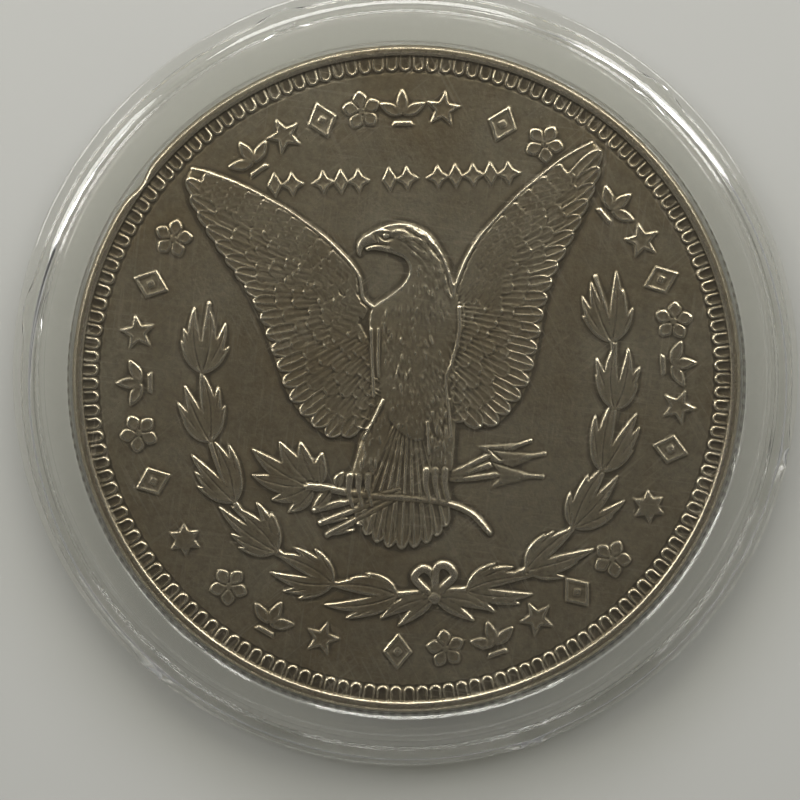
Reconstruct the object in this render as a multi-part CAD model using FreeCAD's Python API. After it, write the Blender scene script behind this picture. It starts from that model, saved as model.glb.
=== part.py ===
"""Direct-fit coin capsule: a clear base shell, a clear press-fit lid and the coin between them.

Millimetres. The origin is the centre of the ring that the capsule rests on, +Z is up through
the window, and +X and +Y lie in the plane that it rests on.
"""

import FreeCAD
import Part
import math
import os

# Driving dimensions: the coin, and the three radii of the closed capsule
COIN_RADIUS = 19.05
COIN_THICKNESS = 2.4
FLANGE_RADIUS = 22.7
SKIRT_RADIUS = 21.85
RING_RADIUS = 21.0

# Fits
COIN_PLAY = 0.20          # radial play of the coin in its pocket
COIN_HEADROOM = 0.50      # between the coin's upper rim and the lid's window
RUNNING_GAP = 0.10        # radial gap between the base's ring and the lid's skirt
SEAM = 0.15               # open seam between the flange and the skirt's lower edge

# Shell walls
WINDOW = 1.20             # both windows
RECESS = 0.25             # each window is sunk this far below its rim
FOOT_RADIUS = 20.9        # inner radius of the foot ring, and of the lid's flat rim
STEP_DRAFT = 0.12         # how far the step down to a window leans inwards
FLANGE_EDGE = 0.35        # rounding of the flange
SKIRT_EDGE = 0.60         # rounding of the lid's upper edge
SKIRT_LIP = 0.15          # rounding of the skirt's lower edge
FINE_EDGE = 0.08          # rounding of the moulding's other corners
LEAD_IN = 0.25            # chamfers that guide the coin and the lid

# Six grips hold the lid: a pad bulging from the skirt outside a rib on the base's ring
GRIPS = 6
FIRST_GRIP_DEG = 49.0
RIB_PROUD = 0.07
RIB_CHORD = 3.0
RIB_EDGE = 0.05
PAD_PROUD = 0.20
PAD_CHORD = 4.2
PAD_EDGE = 0.30
GRIP_MARGIN = 0.5         # from a grip's end to the end of its wall
GRIP_ROOT = 0.3           # how deep a grip is sunk into its wall

# The coin's border
REEDS = 189
REED_DEPTH = 0.08
REED_CREST = 0.45         # share of a reed's pitch that its flat top takes
REED_FLANK = 0.10         # and each of its flanks
TRIM = 0.01               # the reeds' crests reach past the disc, which trims them
RIM_WIDTH = 0.60
RIM_EDGE = 0.15
RIM_SLOPE = 0.10
FIELD_DEPTH = 0.20

# Heights
FLANGE_TOP = RECESS + WINDOW
COIN_TOP = FLANGE_TOP + COIN_THICKNESS
RING_TOP = COIN_TOP + COIN_HEADROOM
LID_TOP = RING_TOP + WINDOW + RECESS
SKIRT_BOTTOM = FLANGE_TOP + SEAM

POCKET_RADIUS = COIN_RADIUS + COIN_PLAY
SKIRT_BORE = RING_RADIUS + RUNNING_GAP
OUT = "parts"


def point(x, z, y=0.0):
    return FreeCAD.Vector(x, y, z)


def rounded_wire(corners):
    """A closed wire in the XZ plane through corners (x, z, radius), each rounded by a tangent arc."""
    edges, joints = [], []
    for i, (x, z, radius) in enumerate(corners):
        here = point(x, z)
        before = (point(*corners[i - 1][:2]) - here).normalize()
        after = (point(*corners[(i + 1) % len(corners)][:2]) - here).normalize()
        if radius == 0:
            joints.append((here, None, here))
            continue
        half = before.getAngle(after) / 2
        setback = radius / math.tan(half)
        bisector = (before + after).normalize()
        middle = here + bisector * (radius / math.sin(half) - radius)
        joints.append((here + before * setback, middle, here + after * setback))
    for i, (start, middle, end) in enumerate(joints):
        if middle is not None:
            edges.append(Part.Arc(start, middle, end).toShape())
        following = joints[(i + 1) % len(joints)][0]
        if (following - end).Length > 1e-6:
            edges.append(Part.LineSegment(end, following).toShape())
    return Part.Wire(edges)


def lathe(corners):
    """The solid of revolution about Z of a profile given as in rounded_wire."""
    face = Part.Face(rounded_wire(corners))
    return face.revolve(FreeCAD.Vector(0, 0, 0), FreeCAD.Vector(0, 0, 1), 360)


def grip_cylinders(wall_radius, proud, chord, low, high, edge):
    """Upright cylinders that each show as a shallow swelling, chord wide, on a wall's outside."""
    sagitta = proud + wall_radius - math.sqrt(wall_radius**2 - (chord / 2) ** 2)
    radius = (chord / 2) ** 2 / (2 * sagitta) + sagitta / 2
    distance = wall_radius + proud - radius
    grips = []
    for k in range(GRIPS):
        angle = math.radians(FIRST_GRIP_DEG + k * 360 / GRIPS)
        centre = point(distance * math.cos(angle), low, distance * math.sin(angle))
        grip = Part.makeCylinder(radius, high - low, centre)
        rims = [e for e in grip.Edges if isinstance(e.Curve, Part.Circle)]
        grips.append(grip.makeChamfer(edge, rims))
    return grips


def tube(inner, outer, low, high):
    """A plain ring, used to trim the grips to the wall they belong to."""
    return lathe([(inner, low, 0), (outer, low, 0), (outer, high, 0), (inner, high, 0)])


def base_shell():
    """Lower window, the foot ring and flange round it, and the ring that holds the coin."""
    body = lathe([
        (0, RECESS, 0),
        (FOOT_RADIUS - STEP_DRAFT, RECESS, FINE_EDGE),
        (FOOT_RADIUS, 0, FINE_EDGE),
        (FLANGE_RADIUS, 0, FLANGE_EDGE),
        (FLANGE_RADIUS, FLANGE_TOP, FLANGE_EDGE),
        (RING_RADIUS, FLANGE_TOP, FINE_EDGE),
        (RING_RADIUS, RING_TOP - LEAD_IN, 0),
        (RING_RADIUS - LEAD_IN, RING_TOP, 0),
        (POCKET_RADIUS + LEAD_IN, RING_TOP, 0),
        (POCKET_RADIUS, RING_TOP - LEAD_IN, 0),
        (POCKET_RADIUS, FLANGE_TOP, 0),
        (0, FLANGE_TOP, 0),
    ])
    low, high = FLANGE_TOP + GRIP_MARGIN, RING_TOP - GRIP_MARGIN
    wall = tube(RING_RADIUS - GRIP_ROOT, RING_RADIUS + RIB_PROUD, low, high)
    for rib in grip_cylinders(RING_RADIUS, RIB_PROUD, RIB_CHORD, low, high, RIB_EDGE):
        body = body.fuse(rib.common(wall))
    return body


def lid_shell():
    """Upper window and the skirt that slides down over the base's ring."""
    body = lathe([
        (0, RING_TOP, 0),
        (SKIRT_BORE, RING_TOP, 0),
        (SKIRT_BORE, SKIRT_BOTTOM, SKIRT_LIP),
        (SKIRT_RADIUS, SKIRT_BOTTOM, SKIRT_LIP),
        (SKIRT_RADIUS, LID_TOP, SKIRT_EDGE),
        (FOOT_RADIUS, LID_TOP, FINE_EDGE),
        (FOOT_RADIUS - STEP_DRAFT, LID_TOP - RECESS, FINE_EDGE),
        (0, LID_TOP - RECESS, 0),
    ])
    low, high = SKIRT_BOTTOM + GRIP_MARGIN, LID_TOP - SKIRT_EDGE / 2
    wall = tube(SKIRT_RADIUS - GRIP_ROOT, SKIRT_RADIUS + PAD_PROUD, low, high)
    for pad in grip_cylinders(SKIRT_RADIUS, PAD_PROUD, PAD_CHORD, low, high, PAD_EDGE):
        body = body.fuse(pad.common(wall))
    return body


def reeded_wire(z):
    """The coin's outline: flat-topped reeds round its edge."""
    crest, root = COIN_RADIUS + TRIM, COIN_RADIUS - REED_DEPTH
    foot = REED_CREST + REED_FLANK
    points = []
    for k in range(REEDS):
        for share, radius in ((0, crest), (REED_CREST, crest), (foot, root), (1 - REED_FLANK, root)):
            angle = 2 * math.pi * (k + share) / REEDS
            points.append(point(radius * math.cos(angle), z, radius * math.sin(angle)))
    return Part.makePolygon(points + points[:1])


def coin():
    """The struck disc: a reeded edge, and a raised rim round the sunk field of each face."""
    field_edge = COIN_RADIUS - RIM_WIDTH
    disc = lathe([
        (0, FLANGE_TOP + FIELD_DEPTH, 0),
        (field_edge - RIM_SLOPE, FLANGE_TOP + FIELD_DEPTH, 0),
        (field_edge, FLANGE_TOP, 0),
        (COIN_RADIUS, FLANGE_TOP, RIM_EDGE),
        (COIN_RADIUS, COIN_TOP, RIM_EDGE),
        (field_edge, COIN_TOP, 0),
        (field_edge - RIM_SLOPE, COIN_TOP - FIELD_DEPTH, 0),
        (0, COIN_TOP - FIELD_DEPTH, 0),
    ])
    reeded = Part.Face(reeded_wire(FLANGE_TOP)).extrude(FreeCAD.Vector(0, 0, COIN_THICKNESS))
    return disc.common(reeded)


def write(name, shape):
    solids = shape.Solids
    assert solids and all(s.isValid() for s in solids), name
    merged = Part.makeCompound(solids) if len(solids) > 1 else solids[0]
    merged.exportStep(os.path.join(OUT, name + ".step"))
    print(name, len(solids), "solid(s)", round(merged.Volume, 1), "mm3")


os.makedirs(OUT, exist_ok=True)
write("base_shell", base_shell())
write("lid_shell", lid_shell())
write("coin", coin())
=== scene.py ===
"""The looks of a direct-fit coin capsule: two clear shells round an old toned silver coin.

Lengths are in millimetres and are turned into metres as the meshes are made. The lamps alone are sized and
placed in metres.
"""

import math

import bpy
from mathutils import Matrix, Vector
import numpy as np


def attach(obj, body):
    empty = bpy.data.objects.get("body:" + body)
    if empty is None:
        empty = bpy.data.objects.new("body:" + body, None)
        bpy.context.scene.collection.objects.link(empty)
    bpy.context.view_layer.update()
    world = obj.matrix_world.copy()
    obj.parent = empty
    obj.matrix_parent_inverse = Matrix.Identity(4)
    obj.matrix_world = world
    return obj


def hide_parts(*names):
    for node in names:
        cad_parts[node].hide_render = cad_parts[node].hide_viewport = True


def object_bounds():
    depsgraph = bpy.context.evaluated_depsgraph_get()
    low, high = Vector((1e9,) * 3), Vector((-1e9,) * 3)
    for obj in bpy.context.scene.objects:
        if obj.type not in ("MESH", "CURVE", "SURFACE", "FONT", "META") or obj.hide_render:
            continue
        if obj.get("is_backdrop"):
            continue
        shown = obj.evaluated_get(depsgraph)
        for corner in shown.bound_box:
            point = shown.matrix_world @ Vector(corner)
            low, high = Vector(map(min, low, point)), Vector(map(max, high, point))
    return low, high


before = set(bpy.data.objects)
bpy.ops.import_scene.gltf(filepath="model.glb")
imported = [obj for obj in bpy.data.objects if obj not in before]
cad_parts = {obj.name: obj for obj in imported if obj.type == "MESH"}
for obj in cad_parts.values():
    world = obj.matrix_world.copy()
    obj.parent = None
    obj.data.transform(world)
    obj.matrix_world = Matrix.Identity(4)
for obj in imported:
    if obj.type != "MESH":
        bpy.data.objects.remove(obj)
cad_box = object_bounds()
MM = 0.001

# ---- Sizes ----

# The capsule: the CAD model's sizes, with the edges and lead-ins that its highlights show
COIN_RADIUS = 19.05
COIN_THICKNESS = 2.4
FLANGE_RADIUS = 22.7
SKIRT_RADIUS = 21.85
RING_RADIUS = 21.0
WINDOW = 1.20
RECESS = 0.25
FOOT_RADIUS = 20.9
STEP_DRAFT = 0.12
FLANGE_EDGE = 0.20
SKIRT_EDGE = 0.85
SKIRT_LIP = 0.15
FINE_EDGE = 0.08
LEAD_IN = 0.10
POCKET_RADIUS = COIN_RADIUS + 0.20
SKIRT_BORE = RING_RADIUS + 0.10
FLANGE_TOP = RECESS + WINDOW
COIN_TOP = FLANGE_TOP + COIN_THICKNESS
RING_TOP = COIN_TOP + 0.50
LID_TOP = RING_TOP + WINDOW + RECESS
SKIRT_BOTTOM = FLANGE_TOP + 0.15
GRIPS = 6
FIRST_GRIP = 49.0
GRIP_MARGIN = 0.5
GRIP_FADE = 0.4
GRIP_DEPTH = 0.5
RIB_PROUD = 0.07
RIB_CHORD = 3.0
PAD_PROUD = 0.20
PAD_CHORD = 4.2
JOINT_AIR = 0.02
SHELL_COLUMNS = 720
SHARP_ANGLE = 28

# The coin
COIN_TURN = 4.0
REEDS = 189
REED_DEPTH = 0.08
REED_SHARPNESS = 1.6
REED_SOIL = 0.03
EDGE_RINGS = (   # how far down the edge, and how much of the reeds' depth
    (0, 0), (0.05, 0.5), (0.1, 1), (0.35, 1), (0.65, 1), (0.9, 1), (0.95, 0.5), (1, 0),
)
RIM_EDGE = 0.26
# The rim's rounded edge is coloured brighter: partly wear, partly a painted highlight along the rim
RIM_WEAR_AND_HIGHLIGHT = 0.075
RIM_LEANS = (22.5, 45.0, 67.5)
FIELD_DEPTH = 0.20
RIM_INNER = 18.40
RIM_SLOPE = 0.10
DENTICLES = 148
DENTICLE_INNER = 17.55
TOOTH = 0.34
TOOTH_RISE = 0.12
TOOTH_LINE = 0.07
TOOTH_DISH = 0.09
HOLLOW_SOIL = -0.065
GAP_SOIL = -0.022
LEGEND_RADIUS = 15.55
LEGEND = (
    (197.5, -10.6, 6), (121.0, -8.5, 6), (65.7, -9.7, 2), (36.0, -9.1, 7),
    (225.0, 11.4, 3), (264.0, 10.2, 6),
)
MARK_RISE = 0.065
MARK_SIZE = 1.12
MARK_BEVEL = 0.09
MOTTO_RISE = 0.055
WING_SHIFT = 0.1
LONG_FEATHERS = 20
COVERT_ROWS = (0.72, 0.50, 0.30, 0.14)
SCALE_ROWS = (2.3, 1.9, 1.5, 1.1, 0.7, 0.35)
LINE_WIDTH = 0.045
STROKE_RISE = 0.030
WREATH_NODES = (0.08, 0.23, 0.38, 0.53, 0.68, 0.84)
WREATH_LEAVES = (   # lean, length, half-width
    (-40, 2.3, 0.27), (37, 2.2, 0.27), (-24, 3.2, 0.34), (22, 3.1, 0.34), (-8, 3.9, 0.38), (7, 4.0, 0.38),
)
MAP_HALF = 19.2
MAP_PITCH = 0.03
MARGIN = 0.1   # room left round a shape's part of the map
STRIKE_SOFTNESS = 0.024
# How the coin's tone is read from its relief: the broad reach gives toning in hollows and wear on high
# points, and the fine reach, at its share, paints shade into narrow grooves and a highlight onto ridges
CREVICE_REACH = 0.28
FINE_SHADING_REACH = 0.08
FINE_SHADING_SHARE = 2.3
RELIEF_SEED = 4
DING_ANGLE = 143.5
DING_LENGTH = 0.9
DING_DEPTH = 0.26
DING_INNER = 17.9
DING_FADE = 1.0

# How finely the coin is meshed: points round its edge, and the steps on each face
COLUMNS = 8 * REEDS
UPPER_STEP, UPPER_ARC = ((0.062, 0.080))
LOWER_STEP, LOWER_ARC = 0.16, 0.17

# Materials
SILVER_DARK = (0.022, 0.017, 0.010)
SILVER_BROWN = (0.215, 0.172, 0.104)
SILVER_GREY = (0.270, 0.235, 0.165)
# The colour of worn high points and scratches, also used for the painted highlight on ridges
SILVER_WORN_AND_HIGHLIGHT = (0.52, 0.47, 0.38)
SILVER_ROUGHNESS = 0.30
CLOUD_SCALE = 150.0   # this and the two below: noise, to the metre
MOTTLE_SCALE = 2600.0
GRAIN_SCALE = 5200.0
MOTTLE_SHARE = 0.46
DARK_TONES = (-0.003, -0.030)   # from unshaded to as dark as it gets: toning, with painted shade in grooves
BRIGHT_TONES = (0.012, 0.062)   # from toned to as bright as it gets: wear, with a painted highlight on ridges
DARK_SHARE = 0.85
BRIGHT_SHARE = 0.42
SCRATCH_SHARE = 0.12
CLEAR_ROUGHNESS = 0.015
CLEAR_IOR = 1.49
BASE_TINT = (0.93, 0.93, 0.905)
LID_TINT = (0.965, 0.965, 0.945)
BASE_SHADOW = (0.76, 0.76, 0.74)
LID_SHADOW = (0.93, 0.93, 0.91)
BASE_HAZE = 0.08
LID_HAZE = 0.0
BASE_SCRATCHES = 0.15
LID_SCRATCHES = 0.3
TABLE_LOW = (0.30, 0.30, 0.283)
TABLE_HIGH = (0.32, 0.32, 0.303)
TABLE_ROUGHNESS = 0.6

# Light, camera and floor
FLOOR_HALF = 600.0
FLOOR_Z = -0.02
SKY = (   # height from the horizon to overhead, colour
    (0.0, (0.55, 0.55, 0.53)),
    (0.35, (0.50, 0.50, 0.48)),
    (0.75, (0.25, 0.25, 0.24)),
    (1.0, (0.13, 0.125, 0.12)),
)
SKY_BACK = 0.6
SKY_FRONT = 1.3
LAMPS = (   # name, azimuth, elevation, distance, width, height, radiance
    ("window_left", 150.0, 40.0, 0.9, 0.35, 0.38, 10.5),
    ("window_right", 44.0, 40.0, 0.9, 0.42, 0.38, 9.0),
    ("window_back", 95.0, 38.0, 0.22, 0.16, 0.09, 10.0),
)
LAMP_COLOUR = (1.0, 0.99, 0.97)
SENSOR = 36.0
PICTURE_WIDTH = 800
PICTURE_SCALE = 17.56
CAMERA_EYE = (-3.4, 12.5, COIN_TOP + 170.0)
CAMERA_AIM = (-0.40, -1.08, COIN_TOP)


# ---- The coin's relief: a height map that shapes are drawn into, in millimetres ----


class Relief:
    """A square height map, with the coin's field at zero."""

    def __init__(self):
        self.axis = np.arange(-MAP_HALF, MAP_HALF + MAP_PITCH / 2, MAP_PITCH)
        self.height = np.zeros((len(self.axis), len(self.axis)))
        self.soil = np.zeros(self.height.shape)

    def window(self, points, margin):
        """The part of the map round some points: its slices, and the x and y of its cells."""
        points = np.asarray(points, float)
        low = np.floor((points.min(0) - margin + MAP_HALF) / MAP_PITCH).astype(int)
        high = np.ceil((points.max(0) + margin + MAP_HALF) / MAP_PITCH).astype(int) + 1
        low = np.clip(low, 0, len(self.axis) - 1)
        high = np.clip(high, 1, len(self.axis))
        columns = slice(low[0], high[0])
        rows = slice(low[1], high[1])
        x, y = np.meshgrid(self.axis[columns], self.axis[rows])
        return (rows, columns), x, y

    def stamp(self, where, inside, height, lay):
        """Lays a shape over what is there, hiding it, or else joins it: the higher of the two shows."""
        part = self.height[where]
        if lay:
            part[inside] = height[inside]
        else:
            np.maximum(part, np.where(inside, height, 0), out=part)

    def add(self, where, height):
        self.height[where] += height

    def blurred(self, radius, height=None):
        """The map, or another of its size, under a Gaussian blur of that radius."""
        reach = int(3 * radius / MAP_PITCH) + 1
        offsets = np.arange(-reach, reach + 1) * MAP_PITCH
        weights = np.exp(-0.5 * (offsets / radius) ** 2)
        weights /= weights.sum()
        out = self.height if height is None else height
        for axis in (0, 1):
            margins = [(reach, reach) if a == axis else (0, 0) for a in (0, 1)]
            padded = np.pad(out, margins, mode="edge")
            count = out.shape[axis]
            out = np.zeros(out.shape)
            for i, weight in enumerate(weights):
                out += weight * (padded[i:i + count] if axis == 0 else padded[:, i:i + count])
        return out


def spline(points, steps=8, closed=False):
    """Points along a Catmull-Rom curve through the given ones."""
    p = np.asarray(points, float)
    if closed:
        p = np.vstack([p[-1:], p, p[:2]])
    else:
        p = np.vstack([2 * p[0] - p[1], p, 2 * p[-1] - p[-2]])
    t = np.linspace(0, 1, steps, endpoint=False)[:, None]
    spans = []
    for a, b, c, d in zip(p, p[1:], p[2:], p[3:]):
        square = 2 * a - 5 * b + 4 * c - d
        cube = 3 * b - a - 3 * c + d
        spans.append(0.5 * (2 * b + (c - a) * t + square * t**2 + cube * t**3))
    if not closed:
        spans.append(p[-2:-1])
    return np.vstack(spans)


def along(points, share):
    """The point at a share, from 0 to 1, of a spline's length."""
    line = spline(points, 12)
    run = np.concatenate([[0], np.cumsum(np.linalg.norm(np.diff(line, axis=0), axis=1))])
    at = share * run[-1]
    return np.array([np.interp(at, run, line[:, 0]), np.interp(at, run, line[:, 1])])


def to_segment(x, y, a, b):
    """How far along the line from a to b each cell's nearest point lies, and its squared distance."""
    dx, dy = b[0] - a[0], b[1] - a[1]
    share = np.clip(((x - a[0]) * dx + (y - a[1]) * dy) / (dx * dx + dy * dy + 1e-12), 0, 1)
    return share, (x - a[0] - share * dx) ** 2 + (y - a[1] - share * dy) ** 2


def depth_inside(x, y, outline):
    """How far each cell lies inside a closed outline; negative outside it."""
    nearest = np.full(x.shape, np.inf)
    inside = np.zeros(x.shape, bool)
    for a, b in zip(outline, np.roll(outline, -1, axis=0)):
        nearest = np.minimum(nearest, to_segment(x, y, a, b)[1])
        if a[1] != b[1]:
            crosses = (y < a[1]) != (y < b[1])
            inside ^= crosses & (x < a[0] + (y - a[1]) * (b[0] - a[0]) / (b[1] - a[1]))
    return np.where(inside, 1, -1) * np.sqrt(nearest)


def plate(relief, outline, rise, bevel, hollow=0.0, lay=False):
    """A flat-topped shape with sloping sides, its middle sunk by a share of its height."""
    where, x, y = relief.window(outline, MARGIN)
    depth = depth_inside(x, y, outline)
    side = np.clip(depth / bevel, 0, 1)
    height = rise * side * side * (3 - 2 * side)
    if hollow:
        height -= hollow * rise * np.clip(depth / bevel - 1.7, 0, 1)
    relief.stamp(where, depth > 0, height, lay)


def pillow(relief, outline, low, high, reach, lay=True):
    """A swelling shape: it rises from low at its outline to high at reach inside it."""
    where, x, y = relief.window(outline, MARGIN)
    depth = depth_inside(x, y, outline)
    swell = 1 - np.clip(depth / reach, 0, 1)
    height = low + (high - low) * np.sqrt(1 - swell * swell)
    relief.stamp(where, depth > 0, height, lay)


def cord(relief, points, radius, rise, end_radius=None, base=0.0, lay=False):
    """A rounded ridge along a spline, tapering to end_radius."""
    line = spline(points)
    radii = np.linspace(radius, radius if end_radius is None else end_radius, len(line))
    where, x, y = relief.window(line, radius + MARGIN)
    best = np.zeros(x.shape)
    for a, b, ra, rb in zip(line, line[1:], radii, radii[1:]):
        share, squared = to_segment(x, y, a, b)
        r = ra + (rb - ra) * share
        best = np.maximum(best, np.sqrt(np.clip(1 - squared / (r * r), 0, 1)) * (r / radius) ** 0.5)
    relief.stamp(where, best > 0, base + rise * best, lay)


def groove(relief, points, radius, deep):
    """A soft-sided line sunk into what is there."""
    line = spline(points)
    where, x, y = relief.window(line, 3 * radius)
    nearest = np.full(x.shape, np.inf)
    for a, b in zip(line, line[1:]):
        nearest = np.minimum(nearest, to_segment(x, y, a, b)[1])
    relief.add(where, -deep * np.exp(-nearest / radius**2))


def leaf_shape(t):
    """Half-width along a leaf, pointed at both ends."""
    return np.sin(np.pi * np.clip(t, 0, 1) ** 0.8) ** 0.85


def feather_shape(t):
    """Half-width along a feather, with a rounded tip."""
    tip = np.clip((t - 0.82) / 0.18, 0, 1)
    return (0.5 + 0.5 * np.clip(t / 0.8, 0, 1)) * np.sqrt(1 - tip * tip)


def blade(relief, root, tip, half_width, rise, shape=leaf_shape, bend=0.0, base=0.0, rib=0.0,
          slope=0.0, edge=0.0):
    """A leaf or feather laid from root to tip.

    It is bowed sideways by bend times its length, rises by slope towards its tip, and has a raised rib
    down its middle and a raised line round its edge. A rib below zero is a groove.
    """
    root = np.asarray(root, float)
    run = np.asarray(tip, float) - root
    length = np.hypot(*run)
    ux, uy = run / length
    where, x, y = relief.window([root, root + run], half_width + abs(bend) * length + MARGIN)
    t = ((x - root[0]) * ux + (y - root[1]) * uy) / length
    s = -(x - root[0]) * uy + (y - root[1]) * ux - bend * length * 4 * t * (1 - t)
    width = half_width * shape(np.clip(t, 0, 1))
    inside = (t > 0) & (t < 1) & (np.abs(s) < width)
    ratio = np.clip(np.abs(s) / np.maximum(width, 1e-6), 0, 1)
    height = base + slope * t + rise * np.sqrt(1 - ratio * ratio)
    height += rib * np.exp(-((s / LINE_WIDTH) ** 2))
    if edge:
        from_edge = np.minimum(width - np.abs(s), (1 - t) * length)
        height += edge * np.exp(-(((from_edge - LINE_WIDTH) / LINE_WIDTH) ** 2))
    relief.stamp(where, inside, height, True)


def turned(points, degrees, at=(0.0, 0.0), scale=1.0):
    """Points turned about the origin, scaled, and moved to at."""
    c, s = math.cos(math.radians(degrees)), math.sin(math.radians(degrees))
    return np.asarray(points, float) @ np.array([[c, s], [-s, c]]) * scale + np.asarray(at)


def star(points, outer, inner):
    """The outline of a star, or of a disc where its two radii are the same."""
    radii = np.where(np.arange(2 * points) % 2, inner, outer)
    angles = np.pi / 2 + np.arange(2 * points) * np.pi / points
    return np.stack([radii * np.cos(angles), radii * np.sin(angles)], 1)


# The border

def draw_border(relief):
    """The rim and the ring of denticles inside it, each a hollowed tongue with a thin raised edge."""
    x, y = np.meshgrid(relief.axis, relief.axis)
    r = np.hypot(x, y)
    angle = np.arctan2(y, x)
    pitch = 2 * math.pi / DENTICLES
    across = np.abs((angle / pitch) % 1 - 0.5) * pitch * r
    rim = np.clip((r - RIM_INNER) / RIM_SLOPE, 0, 1)
    height = FIELD_DEPTH * rim * rim * (3 - 2 * rim)
    inward = np.clip(DENTICLE_INNER + TOOTH - r, 0, None)
    depth = TOOTH - np.hypot(across, inward)
    depth[r > RIM_INNER + RIM_SLOPE] = 0
    side = np.clip(depth / TOOTH_LINE, 0, 1)
    dish = np.clip(depth / TOOTH_LINE - 1.2, 0, 1)
    tooth = TOOTH_RISE * side - TOOTH_DISH * dish
    band = (r > DENTICLE_INNER - 0.05) & (r < RIM_INNER + RIM_SLOPE / 2)
    ring = np.where(depth > 0, np.maximum(height, tooth), height - 0.02 * (r < RIM_INNER))
    relief.height = np.where(r > DENTICLE_INNER - 0.05, ring, relief.height)
    relief.soil[band & (dish > 0.2)] = HOLLOW_SOIL
    relief.soil[band & (depth <= 0)] = GAP_SOIL
    relief.soil[(r > RIM_INNER) & (r < RIM_INNER + 0.2)] = GAP_SOIL


# The legend: marks that stand where a coin has words

def lozenge(relief, at, turn, size):
    """A lozenge with a pellet in its hollow."""
    outline = turned([(0, 1.0), (-0.8, 0), (0, -1.0), (0.8, 0)], turn, at, size)
    plate(relief, outline, MARK_RISE, MARK_BEVEL, hollow=0.6)
    pellet = turned(star(4, 0.3, 0.24), turn, at, size)
    plate(relief, pellet, MARK_RISE, MARK_BEVEL)


def rosette(relief, at, turn, size):
    """A flower of five petals."""
    petal = spline([(0, 0.10), (0.38, 0.60), (0, 1.02), (-0.38, 0.60)], 5, closed=True)
    for k in range(5):
        plate(relief, turned(turned(petal, 72 * k), turn, at, size), MARK_RISE, MARK_BEVEL, hollow=0.3)
    plate(relief, turned(star(8, 0.22, 0.22), turn, at, size), MARK_RISE, MARK_BEVEL)


def sprig(relief, at, turn, size):
    """Three leaves over a short bar."""
    leaf = spline([(0, 0), (0.33, 0.62), (0, 1.35), (-0.33, 0.62)], 5, closed=True)
    for lean in (0, 62, -62):
        shape = turned(leaf, lean) + (0, -0.42)
        plate(relief, turned(shape, turn, at, size), MARK_RISE, MARK_BEVEL, hollow=0.3)
    foot = turned([(-0.62, -0.98), (0.62, -0.98), (0.45, -0.68), (-0.45, -0.68)], turn, at, size)
    plate(relief, foot, MARK_RISE, MARK_BEVEL)


def five_point(relief, at, turn, size):
    """A five-pointed star."""
    plate(relief, turned(star(5, 1.05, 0.46), turn, at, size), MARK_RISE, MARK_BEVEL, hollow=0.4)


def draw_legend(relief):
    """Marks round the bird in turn, and a six-pointed star on each side of it."""
    marks = (lozenge, rosette, sprig, five_point)
    number = 0
    for first, step, count in LEGEND:
        for k in range(count):
            angle = first + k * step
            at = LEGEND_RADIUS * np.array([math.cos(math.radians(angle)), math.sin(math.radians(angle))])
            turn = angle - 90 if first < 200 else angle + 90
            marks[number % len(marks)](relief, at, turn, MARK_SIZE)
            number += 1
    for side in (-1, 1):
        plate(relief, turned(star(6, 1.05, 0.60), 0, (side * 13.3, -8.15)), MARK_RISE, MARK_BEVEL)


def draw_motto(relief):
    """A line of small marks above the bird, in groups like words."""
    tall = [(0, 0.82), (-0.46, 0), (0, -0.82), (0.46, 0)]
    at = -6.7
    for group, count in enumerate((2, 3, 2, 5)):
        for k in range(count):
            y = 11.5 - 0.02 * at
            outline = star(4, 0.80, 0.40) if (k + group) % 2 else tall
            plate(relief, turned(outline, 0, (at, y)), MOTTO_RISE, MARK_BEVEL, hollow=0.5)
            at += 1.0
        at += 0.75


# The bird, in the middle of the upper face

WING_ARM = [(1.6, 0.0), (1.9, 1.6), (2.3, 2.9), (2.9, 4.0), (3.6, 5.0), (4.6, 6.2), (6.0, 7.8)]
WING_TIPS = [(3.0, -2.5), (4.4, -3.0), (5.6, -2.2), (6.8, -0.6), (7.5, 1.6), (8.1, 3.9), (8.9, 5.9),
             (9.9, 7.7), (10.9, 9.6), (11.6, 11.2), (11.8, 12.3)]
WING_FRONTS = {
    -1: [(1.75, 4.35), (2.25, 4.95), (2.5, 6.4), (4.15, 8.45), (6.1, 10.15), (8.3, 11.55), (10.2, 12.5),
         (11.4, 12.9)],
    1: [(2.75, 4.4), (3.1, 5.4), (3.85, 6.9), (4.95, 8.3), (7.0, 10.2), (9.4, 11.9), (11.3, 12.8)],
}
FIGURE = [(-1.7, 4.3), (-1.95, 3.0), (-1.85, 1.6), (-1.6, 0.2), (-1.5, -1.2), (-0.9, -2.5), (0.0, -3.3),
          (0.6, -3.4), (1.2, -2.8), (1.9, -1.6), (2.45, -0.4), (2.75, 1.2), (3.2, 2.8), (3.25, 4.2),
          (2.95, 5.8), (2.5, 7.2), (1.8, 8.3), (0.8, 8.9), (-0.2, 9.0), (-1.2, 8.75), (-1.8, 8.35),
          (-1.95, 7.9), (-1.75, 7.6), (-1.3, 7.6), (-0.4, 7.35), (0.35, 6.95), (0.55, 6.3), (0.2, 5.6),
          (-0.7, 4.95)]
LEGS = (
    [(-1.4, 0.6), (-1.55, -1.0), (-2.2, -2.1), (-2.8, -3.0), (-3.2, -4.1), (-3.5, -5.2), (-2.6, -5.5),
     (-1.85, -4.6), (-1.15, -2.6), (-0.4, 0.0)],
    [(0.8, 0.2), (0.6, -2.2), (0.9, -4.4), (1.3, -5.5), (2.1, -5.5), (2.4, -4.2), (2.6, -2.2), (2.5, 0.2)],
)
NAPE = [(0.9, 8.45), (1.75, 7.8), (2.45, 6.7), (2.85, 5.2)]
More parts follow.
